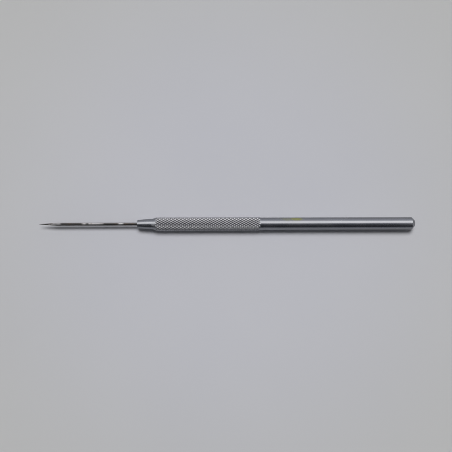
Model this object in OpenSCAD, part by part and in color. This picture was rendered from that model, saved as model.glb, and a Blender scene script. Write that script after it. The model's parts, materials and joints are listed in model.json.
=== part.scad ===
// Scratch awl: a slim turned aluminium handle with a diamond-knurled grip, and a
// polished steel needle pressed into a blind bore in its nose.
//
// The awl lies along X as it lies on a table: point at -X, butt at +X, +Z up.
// The crests of the knurl rest on z = 0, and x = 0 is halfway along the awl.

/* [Needle] */
// Diameter of the needle
needle_d = 1.2; // [0.8:0.1:2]
// Length of needle that stands out of the nose
needle_out = 39.3; // [25:0.1:60]
// Length of the tapered point
point_len = 7.5; // [4:0.1:15]
// How far the middle of the taper bows out from a straight cone
point_bow = 0.045; // [0:0.005:0.06]
// Radius at the very tip
tip_r = 0.05; // [0.02:0.01:0.1]
// Depth to which the needle's tang is pressed into the handle
seat_depth = 15; // [8:0.5:25]
// How much the tang narrows, on its diameter, from the nose face to its end
tang_taper = 0.1; // [0.05:0.01:0.3]

/* [Nose] */
// Diameter of the flat face that the needle comes out of
nose_face_d = 3.2; // [2.6:0.1:4]
// Diameter where the nose meets the shoulder
nose_end_d = 4.2; // [3.4:0.1:4.6]
// Length of the nose
nose_len = 5.8; // [3:0.1:10]
// How far the middle of the nose bows out from a straight cone
nose_bow = 0.08; // [0:0.01:0.2]
// Length of the steeper shoulder between the nose and the knurl
shoulder_len = 1.15; // [0.6:0.05:3]
// Diameter at the end of the shoulder, where the knurl begins
shoulder_end_d = 4.74; // [4.65:0.01:5]

/* [Handle] */
// Diameter of the plain rod
handle_d = 5; // [4.9:0.1:6]
// Length of the handle from the nose face to the butt
handle_len = 110.7; // [80:0.1:140]
// Width of the 45 degree chamfer round the butt
butt_chamfer = 1.2; // [0.2:0.1:1.8]

/* [Knurl] */
// Length of the knurled grip
knurl_len = 42.4; // [20:0.1:60]
// Distance between diamonds along the handle
knurl_pitch = 1.523; // [1:0.001:2.5]
// Number of diamonds round the handle
knurl_count = 16; // [12:1:24]
// Height of the crests above the plain rod
crest_rise = 0.2; // [0.05:0.01:0.3]
// Depth of the grooves below the plain rod
groove_depth = 0.16; // [0.1:0.01:0.3]

/* [Hidden] */
$fn = 96;

awl_len = needle_out + handle_len;
needle_r = needle_d / 2;
handle_r = handle_d / 2;

// Straight stretches that stand for the curve of a bowed taper
curve_steps = 8;

// The nose face's edge is broken by a chamfer this wide
nose_edge = 0.12;

// Where the knurl starts and ends, measured from the nose face
knurl_start = nose_len + shoulder_len;
knurl_end = knurl_start + knurl_len;

// The bore has the tang's taper, goes a little deeper, and ends in a drill's cone.
// Its cutter starts outside the nose face, so that the mouth is open.
tang_end_r = needle_r - tang_taper / 2;
tang_chamfer = needle_r / 4;
bore_spare = 0.5;
drill_angle = 118;
drill_cone_len = tang_end_r / tan(drill_angle / 2);
cutter_lead = 1;

// The knurl is a grid of crests and groove crossings that alternate both ways.
// Its two end rings are tucked inside the plain ends of the handle, below their surface.
knurl_tuck = 0.15;
tuck_inset = 0.1;
knurl_sides = 2 * knurl_count;
side_angle = 360 / knurl_sides;
knurl_rings = 2 * round((knurl_len + 2 * knurl_tuck) / knurl_pitch);
ring_step = (knurl_len + 2 * knurl_tuck) / knurl_rings;

// Rings over which the grooves run out at each end
runout_rings = 2;

// Two neighbouring rows of crests share the awl's weight, one each side of straight down
rest_angle = side_angle / 2;
axis_z = (handle_r + crest_rise) * cos(rest_angle);

// Radius at a share t of a taper that bows out from a straight cone
function bowed_r(t, start_r, end_r, bow) =
    start_r + (end_r - start_r) * t + 4 * bow * t * (1 - t);

// Points [radius, distance] along such a taper, from its start to its end
function taper(start, length, start_r, end_r, bow) = [
    for (i = [0 : curve_steps])
        let (t = i / curve_steps)
        [bowed_r(t, start_r, end_r, bow), start + length * t]
];

// How much of its full height the knurl has at a ring: it fades in at both ends
function knurl_share(ring) =
    min(1, ring / runout_rings, (knurl_rings - ring) / runout_rings);

// Radius that the crests and grooves are measured from at a ring
function knurl_base_r(ring) =
    ring == 0 ? shoulder_end_d / 2 - tuck_inset
    : ring == knurl_rings ? handle_r - tuck_inset
    : handle_r;

function knurl_r(ring, side) =
    (ring + side) % 2 == 1
    ? knurl_base_r(ring) + crest_rise * knurl_share(ring)
    : knurl_base_r(ring) - groove_depth * knurl_share(ring);

function knurl_point(ring, side) =
    let (r = knurl_r(ring, side), angle = side * side_angle + rest_angle)
    [ring * ring_step, r * cos(angle), r * sin(angle)];

function knurl_index(ring, side) = ring * knurl_sides + side % knurl_sides;

// A cell of the grid is folded along the groove between its two groove crossings
function knurl_cell(ring, side) =
    let (
        a = knurl_index(ring, side),
        b = knurl_index(ring, side + 1),
        c = knurl_index(ring + 1, side + 1),
        d = knurl_index(ring + 1, side)
    )
    (ring + side) % 2 == 0
    ? [[a, d, c], [a, c, b]]
    : [[a, d, b], [d, c, b]];

// Lays a shape that was turned round Z along the awl, with its zero at a distance from the tip
module along_awl(distance) {
    translate([distance - awl_len / 2, 0, axis_z])
        rotate([0, 90, 0])
            children();
}

module knurl_band() {
    points = [
        for (ring = [0 : knurl_rings], side = [0 : knurl_sides - 1])
            knurl_point(ring, side)
    ];
    walls = [
        for (ring = [0 : knurl_rings - 1], side = [0 : knurl_sides - 1])
            each knurl_cell(ring, side)
    ];
    front = [for (side = [0 : knurl_sides - 1]) knurl_index(0, side)];
    back = [for (side = [knurl_sides - 1 : -1 : 0]) knurl_index(knurl_rings, side)];
    polyhedron(points = points, faces = concat([front], walls, [back]), convexity = 6);
}

module nose_and_shoulder() {
    face_r = nose_face_d / 2;
    nose = taper(nose_edge, nose_len - nose_edge, face_r, nose_end_d / 2, nose_bow);
    rotate_extrude()
        polygon(concat(
            [[0, 0], [face_r - nose_edge, 0]],
            nose,
            [[shoulder_end_d / 2, knurl_start], [0, knurl_start]]
        ));
}

module plain_rod() {
    rotate_extrude()
        polygon([
            [0, knurl_end],
            [handle_r, knurl_end],
            [handle_r, handle_len - butt_chamfer],
            [handle_r - butt_chamfer, handle_len],
            [0, handle_len]
        ]);
}

module needle_bore() {
    depth = seat_depth + bore_spare;
    rotate_extrude()
        polygon([
            [0, -cutter_lead],
            [needle_r, -cutter_lead],
            [needle_r, 0],
            [tang_end_r, seat_depth],
            [tang_end_r, depth],
            [0, depth + drill_cone_len]
        ]);
}

module handle() {
    color([0.74, 0.75, 0.77])
        difference() {
            union() {
                along_awl(needle_out) {
                    nose_and_shoulder();
                    plain_rod();
                }
                translate([needle_out + knurl_start - knurl_tuck - awl_len / 2, 0, axis_z])
                    knurl_band();
            }
            along_awl(needle_out)
                needle_bore();
        }
}

module needle() {
    point = taper(tip_r, point_len - tip_r, tip_r, needle_r, point_bow);
    tang_end = needle_out + seat_depth;
    color([0.5, 0.5, 0.52])
        along_awl(0)
            rotate_extrude()
                polygon(concat(
                    [[0, 0]],
                    point,
                    [
                        [needle_r, needle_out],
                        [tang_end_r, tang_end],
                        [tang_end_r - tang_chamfer, tang_end + tang_chamfer],
                        [0, tang_end + tang_chamfer]
                    ]
                ));
}

handle();
needle();
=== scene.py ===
"""Looks of a slim all-metal scratch awl: a turned and knurled aluminium handle and a polished steel needle.

The awl lies on a pale table along X, with its point at -X and its butt at +X. Lengths are in metres.
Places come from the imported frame. Details that the frame doesn't state are given here, most of them in
millimetres, as a number times MM. Angles round the awl are counted from +Y towards +Z.
"""

import json
import math

import bpy
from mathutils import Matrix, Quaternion, Vector, noise


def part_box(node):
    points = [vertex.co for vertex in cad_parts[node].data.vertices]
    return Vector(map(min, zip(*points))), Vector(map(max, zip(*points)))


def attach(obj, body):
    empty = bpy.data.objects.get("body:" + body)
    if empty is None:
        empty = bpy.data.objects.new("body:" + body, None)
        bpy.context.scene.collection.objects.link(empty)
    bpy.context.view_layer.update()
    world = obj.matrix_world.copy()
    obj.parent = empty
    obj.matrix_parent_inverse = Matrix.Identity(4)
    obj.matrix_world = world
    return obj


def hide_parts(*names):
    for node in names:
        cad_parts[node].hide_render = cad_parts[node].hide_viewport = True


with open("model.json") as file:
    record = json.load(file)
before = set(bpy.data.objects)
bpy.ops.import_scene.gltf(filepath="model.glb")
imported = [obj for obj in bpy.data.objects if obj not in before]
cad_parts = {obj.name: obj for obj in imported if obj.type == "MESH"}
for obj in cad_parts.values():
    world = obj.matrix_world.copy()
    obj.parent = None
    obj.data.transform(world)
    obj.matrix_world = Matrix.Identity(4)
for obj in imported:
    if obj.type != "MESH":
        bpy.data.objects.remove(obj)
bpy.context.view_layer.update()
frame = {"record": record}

MM = 0.001
mounts = {mount["name"]: mount for mount in frame["record"]["mounts"]}


def stretch(mount):
    """Where a round mount starts and ends along X."""
    half = mount["dims"]["length_mm"] * MM / 2
    return mount["pos_m"][0] - half, mount["pos_m"][0] + half


# The awl's main sizes, read from the frame
handle_low, handle_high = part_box("handle")
needle_low, needle_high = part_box("needle")
AXIS_Z = mounts["rear_shank"]["pos_m"][2]
ROD_R = mounts["rear_shank"]["dims"]["r_mm"] * MM
NEEDLE_R = mounts["needle_shaft"]["dims"]["r_mm"] * MM
ROD_START, ROD_END = stretch(mounts["rear_shank"])
POINT_END, NOSE_X = stretch(mounts["needle_shaft"])
TIP_X, TANG_X, BUTT_X = needle_low[0], needle_high[0], handle_high[0]
BUTT_FACE_R = ROD_R - (BUTT_X - ROD_END)

# The turned nose and the shoulder behind it. The slope is the rise of the radius for each unit of length,
# and the shoulder is plain over a short length before the knurl begins.
NOSE_FACE_R = 1.6 * MM
NOSE_END_R = 2.1 * MM
NOSE_LEN = 5.8 * MM
NOSE_BOW = 0.08 * MM
SHOULDER_SLOPE = 0.235
PLAIN_SHOULDER_LEN = 1.15 * MM

# Radii of the broken edges. The rod's plain stretch stops EDGE_ROOM before the one at its chamfer.
NOSE_EDGE_R = 0.12 * MM
SHOULDER_EDGE_R = 1.2 * MM
BUTT_EDGE_R = 0.3 * MM
EDGE_ROOM = 2 * MM

# The plain rod's radius varies a little, in waves along it
ROD_WOBBLE = 0.003 * MM
ROD_WAVES_PER_METRE = 260

# The blind bore that holds the needle's tang
BORE_EDGE = 0.07 * MM
BORE_DEPTH = 15.5 * MM
BORE_END_R = 0.55 * MM
DRILL_CONE = 0.33 * MM

# A faint yellowish smear on the rod. Each patch has its middle, measured from the nose face, half its
# length, and its strength.
SMEARS = ((59.8 * MM, 3.2 * MM, 0.35), (63.2 * MM, 2.6 * MM, 0.85))
SMEAR_ANGLE = math.radians(48)
SMEAR_HALF_ANGLE = math.radians(22)

# The needle's tip and its tang, whose radius is TANG_GAP less than the needle's where it enters the bore
TIP_R = 0.05 * MM
POINT_BOW = 0.045 * MM
TANG_END_R = 0.54 * MM
TANG_CHAMFER = 0.15 * MM
TANG_GAP = 0.005 * MM
NEEDLE_SIDES = 72

# Hand polishing took up to about this share off the needle's radius, in noise of these scales along it
# and round it
POLISH_UNEVEN = 0.014
UNEVEN_PER_METRE = 190
UNEVEN_ROUND = 0.9

# Stretches along the needle, measured from its tip, whose colour is lightened into a painted highlight and
# whose roughness is a little lower. They are on its upper side only, where it mirrors the sky's bright
# panel, and they fade out both along the needle and round it.
PAINTED_HIGHLIGHT_STRETCHES = ((4.6 * MM, 8 * MM), (17.8 * MM, 18.2 * MM), (20.4 * MM, 25 * MM), (32.3 * MM, 33 * MM))
PAINTED_HIGHLIGHT_FADE = 1.2 * MM
PAINTED_HIGHLIGHT_SIDE = (math.radians(60), math.radians(105))
PAINTED_HIGHLIGHT_SIDE_FADE = math.radians(25)

# The knurl, on the same grid of crests and groove crossings as the frame's. Each diamond is CELLS cells of
# the mesh long and wide. A CREST_ROUND of 1 gives straight-sided pyramids, and more gives rounder crests.
# The knurl runs out over RUNOUT at each end. Its mesh starts and ends KNURL_TUCK further out than the
# knurl shows, and the nose's own points stop LEAST_STEP before it.
DIAMONDS_ROUND = 16
DIAMONDS_ALONG = 28
CELLS = 12
SIDES = DIAMONDS_ROUND * CELLS
REST_ANGLE = math.pi / DIAMONDS_ROUND / 2
KNURL_TUCK = 0.15 * MM
KNURL_START = NOSE_X + NOSE_LEN + PLAIN_SHOULDER_LEN - KNURL_TUCK
KNURL_END = ROD_START + KNURL_TUCK
PITCH = (KNURL_END - KNURL_START) / DIAMONDS_ALONG
CREST_RISE = (handle_high[1] - handle_low[1]) / 2 / math.cos(REST_ANGLE) - ROD_R
GROOVE_DEPTH = 0.16 * MM
CREST_ROUND = 1.3
RUNOUT = 0.9 * PITCH
LEAST_STEP = 0.02 * MM

# Colours of the metals, as linear RGB and alpha
ALUMINIUM = ((0.33, 0.34, 0.36, 1), (0.43, 0.44, 0.46, 1))
# Near-black painted shade in the knurl's grooves
GROOVE_PAINTED_SHADE_COLOUR = (0.09, 0.09, 0.095, 1)
# Light colour on the knurl's crests, partly wear and partly a painted highlight
CREST_WEAR_AND_PAINTED_HIGHLIGHT_COLOUR = (0.68, 0.68, 0.7, 1)
SMEAR_COLOUR = (0.3, 0.31, 0.06, 1)
STEEL_COLOUR = (0.12, 0.115, 0.11, 1)
# Painted highlight on stretches of the needle's upper side
PAINTED_HIGHLIGHT_COLOUR = (0.62, 0.61, 0.6, 1)
STAIN_COLOUR = (0.15, 0.12, 0.1, 1)

# The table is a square, TABLE_HALF from its middle to each side. Near its middle it is lighter and bluer,
# a painted pool of cool light round the awl: it goes from its middle's colours to its edge's over
# TABLE_FADE, two distances from its middle. The metal mirrors it at a share of its brightness.
TABLE_HALF = 4.0
TABLE_MIDDLE_PAINTED_LIGHT = ((0.575, 0.58, 0.63, 1), (0.62, 0.62, 0.65, 1))
TABLE_EDGE = ((0.555, 0.555, 0.55, 1), (0.585, 0.585, 0.575, 1))
TABLE_FADE = (0.03, 0.14)
TABLE_MIRRORED = 0.7

# The sky that the metal mirrors: its level at shares of the half turn from the front horizon, over the
# top, to the back horizon. Dark stretches are cool and bright ones are warm.
SKY = (
    (0.0, 0.3), (0.04, 0.15), (0.1, 0.035), (0.25, 0.035), (0.38, 0.09), (0.48, 0.23),
    (0.53, 1.3), (0.61, 1.6), (0.69, 1.65), (0.74, 0.85), (0.85, 0.55), (1.0, 0.4),
)
SKY_COOL = Vector((0.93, 0.97, 1.15))
SKY_WARM = Vector((1.0, 0.985, 1.0))

# Towards +X and -X the sky has ends of their own, dark low down and bright above. They take over where the
# X of a direction goes from the first to the second of END_X, and brighten over END_Z of its Z.
END_X = (0.53, 0.67)
END_Z = (0.3, 0.7)
END_LOW = (0.16, 0.16, 0.17, 1)
END_HIGH = (1.3, 1.3, 1.3, 1)
BACKDROP_COLOUR = (0.47, 0.47, 0.475, 1)


def smooth_step(low, high, value):
    """0 up to low and 1 from high on, with a smooth rise between them. It falls where low is above high."""
    share = min(1, max(0, (value - low) / (high - low)))
    return share * share * (3 - 2 * share)


def bowed(start, end, bow, steps):
    """Points (x, r) of a taper whose middle bows outward."""
    points = []
    for step in range(steps + 1):
        share = step / steps
        x = start[0] + (end[0] - start[0]) * share
        r = start[1] + (end[1] - start[1]) * share + 4 * bow * share * (1 - share)
        points.append((x, r))
    return points


def rounded(before, corner, after, radius, steps=6):
    """Points (x, r) of a corner, rounded to about that radius between its two neighbours."""
    here = Vector(corner)
    back = (Vector(before) - here).normalized()
    ahead = (Vector(after) - here).normalized()
    reach = radius / math.tan(back.angle(ahead) / 2)
    points = []
    for step in range(steps + 1):
        share = step / steps
        pull = (1 - share) ** 2 * reach
        push = share ** 2 * reach
        points.append(tuple(here + back * pull + ahead * push))
    return points


def along(start, end, r, steps):
    """Points (x, r) of a plain stretch, without its two ends."""
    return [(start + (end - start) * step / steps, r) for step in range(1, steps)]


def ridge(grooves):
    """0 at the bottom of a groove and 1 midway between two, for a distance counted in grooves."""
    return 1 - abs(grooves % 1 - 0.5) * 2


def knurl_height(x, angle):
    """Height of the diamonds over the plain rod, where two sets of grooves cross."""
    forward = (x - KNURL_START) / PITCH
    round_axis = (angle - REST_ANGLE) * DIAMONDS_ROUND / math.tau
    share = min(ridge(forward + round_axis), ridge(forward - round_axis))
    return (CREST_RISE + GROOVE_DEPTH) * (1 - (1 - share) ** CREST_ROUND) - GROOVE_DEPTH


def knurl_share(x):
    """How much of the knurl's depth there is at x: it runs out at both ends."""
    rising = smooth_step(KNURL_START, KNURL_START + RUNOUT, x)
    falling = smooth_step(KNURL_END, KNURL_END - RUNOUT, x)
    return rising * falling


def knurl_cut(x, side):
    """Which way a cell of the knurl is cut in two, so that an edge runs along each groove and ridge."""
    step = round((x - KNURL_START) / PITCH * CELLS)
    if (step + side + 1) % (CELLS // 2) == 0:
        return "falling"
    if (step - side) % (CELLS // 2) == 0:
        return "rising"
    return None


def cell_faces(a, b, c, d, cut):
    """A cell's corners as one face, or as two triangles where it is cut."""
    if cut == "rising":
        return [(a, b, c), (a, c, d)]
    if cut == "falling":
        return [(a, b, d), (b, c, d)]
    return [(a, b, c, d)]


def turned(name, profile, sides, radius_at, cut_at=None):
    """Turns a profile of points (x, r) round the awl's axis, where r = 0 is a pole.

    radius_at(index, x, r, angle) gives a point's radius and the value kept in its attribute relief,
    and cut_at(index, x, side) says which way a cell is cut in two.
    """
    verts, relief, starts, faces = [], [], [], []
    for index, (x, r) in enumerate(profile):
        starts.append(len(verts))
        for side in range(sides if r else 1):
            angle = REST_ANGLE + side * math.tau / sides
            radius, value = radius_at(index, x, r, angle) if r else (0, 0)
            verts.append((x, radius * math.cos(angle), AXIS_Z + radius * math.sin(angle)))
            relief.append(value)
    for index in range(len(profile) - 1):
        a, b = starts[index], starts[index + 1]
        for side in range(sides):
            after = (side + 1) % sides
            if profile[index][1] == 0:
                faces.append((a, b + after, b + side))
            elif profile[index + 1][1] == 0:
                faces.append((a + side, a + after, b))
            else:
                cut = cut_at(index, profile[index][0], side) if cut_at else None
                faces += cell_faces(a + side, a + after, b + after, b + side, cut)
    mesh = bpy.data.meshes.new(name)
    mesh.from_pydata(verts, [], faces)
    mesh.attributes.new("relief", "FLOAT", "POINT").data.foreach_set("value", relief)
    mesh.polygons.foreach_set("use_smooth", [True] * len(mesh.polygons))
    mesh.update()
    piece = bpy.data.objects.new(name, mesh)
    bpy.context.scene.collection.objects.link(piece)
    return piece


def bore_profile():
    """From the blind end of the bore to its mouth, whose edge is broken."""
    return [
        (NOSE_X + BORE_DEPTH + DRILL_CONE, 0),
        (NOSE_X + BORE_DEPTH, BORE_END_R),
        (NOSE_X + BORE_EDGE, NEEDLE_R),
        (NOSE_X, NEEDLE_R + BORE_EDGE),
    ]


def front_outline():
    """From the nose face over the nose and the shoulder to the full diameter of the rod."""
    nose = bowed((NOSE_X, NOSE_FACE_R), (NOSE_X + NOSE_LEN, NOSE_END_R), NOSE_BOW, steps=16)
    shoulder_end = (nose[-1][0] + (ROD_R - NOSE_END_R) / SHOULDER_SLOPE, ROD_R)
    edge = rounded((NOSE_X, NEEDLE_R), nose[0], nose[1], NOSE_EDGE_R)
    foot = rounded(nose[-3], nose[-1], shoulder_end, SHOULDER_EDGE_R)
    top = rounded(nose[-1], shoulder_end, (ROD_START, ROD_R), SHOULDER_EDGE_R)
    middle = [point for point in nose if edge[-1][0] < point[0] < foot[0][0]]
    return edge + middle + foot + top


def rear_outline():
    """From the end of the knurl along the plain rod, over the chamfer and in to the middle of the butt."""
    corner, rim = (ROD_END, ROD_R), (BUTT_X, BUTT_FACE_R)
    return (
        along(KNURL_END, ROD_END - EDGE_ROOM, ROD_R, steps=60)
        + rounded((KNURL_END, ROD_R), corner, rim, BUTT_EDGE_R)
        + rounded(corner, rim, (BUTT_X, 0), BUTT_EDGE_R)
        + [(BUTT_X, BUTT_FACE_R / 2), (BUTT_X, 0)]
    )


def outline_radius(outline, x):
    """Radius of an outline at x, between its points."""
    for (x0, r0), (x1, r1) in zip(outline, outline[1:]):
        if x0 <= x <= x1 and x1 > x0:
            return r0 + (r1 - r0) * (x - x0) / (x1 - x0)
    return outline[-1][1]


def make_handle():
    """The handle as one turned mesh, from the blind end of its bore to the middle of its butt."""
    bore, front, rear = bore_profile(), front_outline(), rear_outline()
    rings = DIAMONDS_ALONG * CELLS
    grid = [KNURL_START + PITCH * ring / CELLS for ring in range(rings + 1)]
    plain = [point for point in front if point[0] < KNURL_START - LEAST_STEP]
    knurled = [(x, outline_radius(front, x)) for x in grid]
    first = len(bore) + len(plain)
    last = first + rings

    def radius_at(index, x, r, angle):
        if first <= index <= last:
            height = knurl_share(x) * knurl_height(x, angle)
            return r + height, height / CREST_RISE
        if index > last and r == ROD_R:
            return r + ROD_WOBBLE * noise.noise((x * ROD_WAVES_PER_METRE, 0, 0)), 0
        return r, 0

    def cut_at(index, x, side):
        return knurl_cut(x, side) if first <= index < last else None

    return turned("turned_handle", bore + plain + knurled + rear, SIDES, radius_at, cut_at)


def make_needle():
    """The needle as one turned mesh, from its tip to the end of its tang, slightly uneven all over."""
    tip_angles = (0, 0.5, 1, 1.3)
    tip = [(TIP_X + TIP_R * (1 - math.cos(angle)), TIP_R * math.sin(angle)) for angle in tip_angles]
    point = bowed((TIP_X + TIP_R, TIP_R), (POINT_END, NEEDLE_R), POINT_BOW, steps=40)
    shaft = along(POINT_END, NOSE_X, NEEDLE_R, steps=130)
    tang = [(NOSE_X, NEEDLE_R - TANG_GAP), (TANG_X - TANG_CHAMFER, TANG_END_R)]
    tail = [(TANG_X, TANG_END_R - TANG_CHAMFER), (TANG_X, 0)]

    def radius_at(index, x, r, angle):
        spot = (x * UNEVEN_PER_METRE, UNEVEN_ROUND * math.cos(angle), UNEVEN_ROUND * math.sin(angle))
        uneven = POLISH_UNEVEN * (0.5 + noise.noise(spot))
        return r * (1 - uneven * smooth_step(TIP_R, NEEDLE_R, r)), 0

    return turned("polished_needle", tip + point + shaft + tang + tail, NEEDLE_SIDES, radius_at)


class Nodes:
    """Adds shader nodes to a tree. A socket's value is a number, a colour or another node's output."""

    def __init__(self, tree):
        self.tree = tree

    def node(self, kind, inputs=None, output=0, **settings):
        """A new node's output, by its number."""
        node = self.tree.nodes.new("ShaderNode" + kind)
        for key, value in settings.items():
            setattr(node, key, value)
        self.set(node, inputs or {})
        return node.outputs[output]

    def set(self, node, inputs):
        for key, value in inputs.items():
            if isinstance(value, bpy.types.NodeSocket):
                self.tree.links.new(value, node.inputs[key])
            else:
                node.inputs[key].default_value = value

    def math(self, operation, a, b=0.0, c=0.0):
        return self.node("Math", {0: a, 1: b, 2: c}, operation=operation)

    def remap(self, value, low, high, to_low=0.0, to_high=1.0):
        """Maps low to to_low and high to to_high, smoothly between them and level beyond them."""
        inputs = {"Value": value, "From Min": low, "From Max": high, "To Min": to_low, "To Max": to_high}
        return self.node("MapRange", inputs, interpolation_type="SMOOTHSTEP")

    def mix(self, share, a, b):
        """A colour between a and b, which go into the Mix node's sockets 6 and 7."""
        inputs = {"Factor": share, 6: a, 7: b}
        return self.node("Mix", inputs, output=2, data_type="RGBA")

    def place(self, scale=(1, 1, 1)):
        """Object coordinates, stretched by a scale for each axis."""
        spot = self.node("TexCoord", output=3)
        return self.node("Mapping", {"Vector": spot, "Scale": scale})

    def between(self, value, start, end, fade):
        """1 where a value lies from start to end, fading to 0 outside them."""
        rising = self.remap(value, start - fade, start)
        falling = self.remap(value, end + fade, end)
        return self.math("MULTIPLY", rising, falling)

    def turn(self, y, z):
        """Angle round the awl's axis, from +Y towards +Z."""
        return self.math("ARCTAN2", self.math("SUBTRACT", z, AXIS_Z), y)

    def noise(self, vector, scale, detail=2.0, roughness=0.5):
        inputs = {"Vector": vector, "Scale": scale, "Detail": detail, "Roughness": roughness}
        return self.node("TexNoise", inputs)


class Material(Nodes):
    """A node material with one Principled shader."""

    def __init__(self, name):
        self.material = bpy.data.materials.new(name)
        self.material.use_nodes = True
        super().__init__(self.material.node_tree)
        self.shader = self.tree.nodes["Principled BSDF"]


def smear(m, x, angle):
    """How much of the smear there is: thin patches in line on the rod's upper back side."""
    ragged_edge = m.remap(m.noise(m.place((0.5, 1, 1)), scale=900), 0.3, 0.7, -0.35, 0.35)
    share = 0.0
    for middle, half_len, strength in SMEARS:
        sideways = m.math("DIVIDE", m.math("SUBTRACT", x, NOSE_X + middle), half_len)
        upward = m.math("DIVIDE", m.math("SUBTRACT", angle, SMEAR_ANGLE), SMEAR_HALF_ANGLE)
        square = m.math("ADD", m.math("POWER", sideways, 2.0), m.math("POWER", upward, 2.0))
        patch = m.remap(m.math("ADD", square, ragged_edge), 1.4, -0.2, 0.0, strength)
        share = m.math("MAXIMUM", share, patch)
    return share


def aluminium():
    """Fine-turned aluminium with faint lathe lines, and a knurl whose grooves are darkened with painted
    shade and whose crests are lightened, partly as wear and partly as a painted highlight.

    The attribute relief is the knurl's height over the plain rod, as a share of the crests' height.
    """
    m = Material("turned_aluminium")
    parts = m.node("SeparateXYZ", {0: m.place()}).node.outputs
    x = parts[0]
    smeared = smear(m, x, m.turn(parts[1], parts[2]))
    knurled = m.between(x, KNURL_START + RUNOUT, KNURL_END - RUNOUT, RUNOUT)
    relief = m.node("Attribute", output=2, attribute_name="relief")
    # Masks for the painted shade in the grooves and for the crests' wear and painted highlight
    groove = m.remap(relief, 0.1, -0.5)
    crest_wear_and_highlight = m.remap(relief, -0.4, 0.3)
    lathe = m.noise(m.place((1, 0.02, 0.02)), scale=9000, detail=3)
    cloudy = m.noise(m.place((0.35, 1, 1)), scale=320, detail=3)
    handled = m.noise(m.place(), scale=90)
    tone = m.mix(cloudy, *ALUMINIUM)
    # Darkens the grooves with painted shade, and lightens the crests as wear and painted highlight
    tone = m.mix(m.math("MULTIPLY", groove, knurled), tone, GROOVE_PAINTED_SHADE_COLOUR)
    tone = m.mix(m.math("MULTIPLY", crest_wear_and_highlight, knurled), tone, CREST_WEAR_AND_PAINTED_HIGHLIGHT_COLOUR)
    tone = m.mix(smeared, tone, SMEAR_COLOUR)
    rough = m.math("ADD", m.remap(cloudy, 0.3, 0.7, 0.2, 0.27), m.remap(handled, 0.35, 0.7, 0.0, 0.05))
    rough = m.math("ADD", rough, m.math("MULTIPLY", knurled, 0.08))
    bump = m.node("Bump", {"Strength": 0.6, "Distance": 0.000002, "Height": lathe})
    tangent = m.node("Tangent", direction_type="RADIAL", axis="X")
    m.set(m.shader, {
        "Base Color": tone,
        "Metallic": m.math("MULTIPLY_ADD", smeared, -0.7, 1.0),
        "Roughness": rough,
        "Anisotropic": 0.55,
        "Anisotropic Rotation": 0.25,
        "Tangent": tangent,
        "Normal": bump,
    })
    return m.material


def steel():
    """Hardened steel, ground along its length: dark, with a few stretches on its upper side lightened into
    a painted highlight, and a little smoother there.
    """
    m = Material("polished_steel")
    parts = m.node("SeparateXYZ", {0: m.place()}).node.outputs
    x, angle = parts[0], m.turn(parts[1], parts[2])
    streak = m.noise(m.place((0.04, 1, 1)), scale=5000, detail=3)
    stain = m.noise(m.place(), scale=420, detail=3)
    # Painted highlight on stretches of the upper side, which are also a little smoother
    polish_and_painted_highlight = 0.0
    for start, end in PAINTED_HIGHLIGHT_STRETCHES:
        polish_and_painted_highlight = m.math("ADD", polish_and_painted_highlight, m.between(x, TIP_X + start, TIP_X + end, PAINTED_HIGHLIGHT_FADE))
    upper = m.between(angle, *PAINTED_HIGHLIGHT_SIDE, PAINTED_HIGHLIGHT_SIDE_FADE)
    polish_and_painted_highlight = m.math("MULTIPLY", polish_and_painted_highlight, m.math("MULTIPLY", upper, m.remap(streak, 0.35, 0.6, 0.5, 1.0)))
    tone = m.mix(polish_and_painted_highlight, STEEL_COLOUR, PAINTED_HIGHLIGHT_COLOUR)
    tone = m.mix(m.remap(stain, 0.5, 0.75), tone, STAIN_COLOUR)
    rough = m.math("ADD", m.remap(stain, 0.3, 0.7, 0.12, 0.2), m.math("MULTIPLY", polish_and_painted_highlight, -0.06))
    bump = m.node("Bump", {"Strength": 0.5, "Distance": 0.0000006, "Height": streak})
    m.set(m.shader, {"Base Color": tone, "Metallic": 1.0, "Roughness": rough, "Normal": bump})
    return m.material


def table_top():
    """A pale matt table: neutral, with a painted pool of slightly bluish light near the awl, and dimmer in
    the metal.
    """
    m = Material("pale_table")
    patch = m.noise(m.place(), scale=14, detail=3)
    away = m.node("VectorMath", {0: m.place()}, output=1, operation="LENGTH")
    # The painted pool of cool light near the awl fades into the neutral table further out
    tone = m.mix(m.remap(away, *TABLE_FADE), m.mix(patch, *TABLE_MIDDLE_PAINTED_LIGHT), m.mix(patch, *TABLE_EDGE))
    dimmed = m.node("VectorMath", {0: tone, "Scale": TABLE_MIRRORED}, operation="SCALE")
    glossy_ray = m.node("LightPath", output=3)
    tone = m.mix(glossy_ray, tone, dimmed)
    m.set(m.shader, {"Base Color": tone, "Roughness": 0.6, "Specular IOR Level": 0.2})
    return m.material


def make_floor():
    """The table's top, one flat square at z = 0."""
    half = TABLE_HALF
    corners = [(-half, -half, 0), (half, -half, 0), (half, half, 0), (-half, half, 0)]
    mesh = bpy.data.meshes.new("table")
    mesh.from_pydata(corners, [], [(0, 1, 2, 3)])
    floor = bpy.data.objects.new("table", mesh)
    bpy.context.scene.collection.objects.link(floor)
    floor.data.materials.append(table_top())


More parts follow.
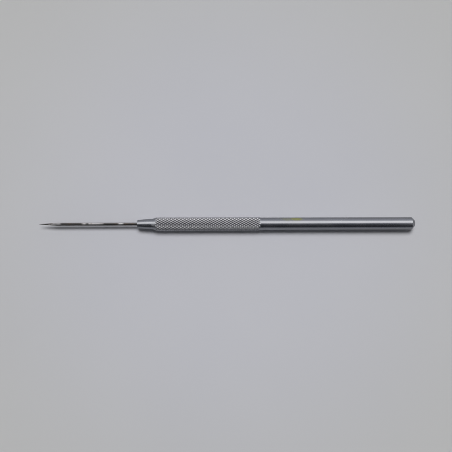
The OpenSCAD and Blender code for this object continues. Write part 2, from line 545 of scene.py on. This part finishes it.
def make_world():
    """What the metal mirrors: a bright panel just behind straight up, a grey back, a dark front, two ends.

    Between the ends the sky changes only with the angle round X. It lights no matt surface, and the camera
    sees a plain grey backdrop in its place.
    """
    world = bpy.data.worlds.new("studio")
    bpy.context.scene.world = world
    world.use_nodes = True
    m = Nodes(world.node_tree)
    parts = m.node("SeparateXYZ", {0: m.node("TexCoord")}).node.outputs
    turn = m.math("ARCTAN2", parts[2], m.math("MULTIPLY", parts[1], -1.0))
    ramp = m.node("ValToRGB", {0: m.math("DIVIDE", turn, math.pi)})
    # A new ramp has a stop at 0 and one at 1, so only those between them are added
    stops = ramp.node.color_ramp.elements
    for position, _ in SKY[1:-1]:
        stops.new(position)
    for stop, (_, level) in zip(stops, SKY):
        stop.color = (*(SKY_COOL.lerp(SKY_WARM, min(1, level)) * level), 1)
    end = m.mix(m.remap(parts[2], *END_Z), END_LOW, END_HIGH)
    sky = m.mix(m.remap(m.math("ABSOLUTE", parts[0]), *END_X), ramp, end)
    camera_ray = m.node("LightPath")
    m.set(world.node_tree.nodes["Background"], {0: m.mix(camera_ray, sky, BACKDROP_COLOUR)})
    world.cycles_visibility.diffuse = False


def make_lamp(name, lean, spread, strength, color):
    """A soft distant lamp that leans back from straight up. The metal doesn't mirror it."""
    data = bpy.data.lights.new(name, "SUN")
    data.angle = spread
    data.energy = strength
    data.color = color
    lamp = bpy.data.objects.new(name, data)
    bpy.context.scene.collection.objects.link(lamp)
    away = Vector((0, math.sin(lean), math.cos(lean)))
    lamp.rotation_mode = "QUATERNION"
    lamp.rotation_quaternion = away.to_track_quat("Z", "Y")
    lamp.visible_glossy = False
    lamp.visible_camera = False


def make_camera():
    """Looks steeply down from the awl's front side, with the awl a little above the picture's middle."""
    elevation = math.radians(84)
    roll = math.radians(-0.16)
    distance = 0.251
    data = bpy.data.cameras.new("camera")
    data.lens = 50
    data.sensor_width = 36
    data.clip_start = 0.01
    camera = bpy.data.objects.new("camera", data)
    bpy.context.scene.collection.objects.link(camera)
    away = Vector((0, -math.cos(elevation), math.sin(elevation)))
    target = Vector((-0.0003, -0.00086, AXIS_Z))
    camera.location = target + away * distance
    camera.rotation_mode = "QUATERNION"
    camera.rotation_quaternion = Quaternion(away, roll) @ (-away).to_track_quat("-Z", "Y")
    bpy.context.scene.camera = camera


handle = make_handle()
handle.data.materials.append(aluminium())
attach(handle, "root")
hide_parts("handle")

needle = make_needle()
needle.data.materials.append(steel())
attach(needle, "root")
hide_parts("needle")

make_floor()
make_world()
make_lamp("key_lamp", lean=math.radians(24), spread=math.radians(26), strength=2.3, color=(0.99, 0.99, 1.0))
make_lamp("fill_lamp", lean=0, spread=math.radians(150), strength=0.35, color=(0.92, 0.96, 1.0))
make_camera()

# A narrow pixel filter and a denoiser without a prefilter keep the small diamonds of the knurl sharp
scene = bpy.context.scene
scene.view_settings.view_transform = "Standard"
scene.cycles.filter_width = 1.0
scene.cycles.denoising_prefilter = "NONE"
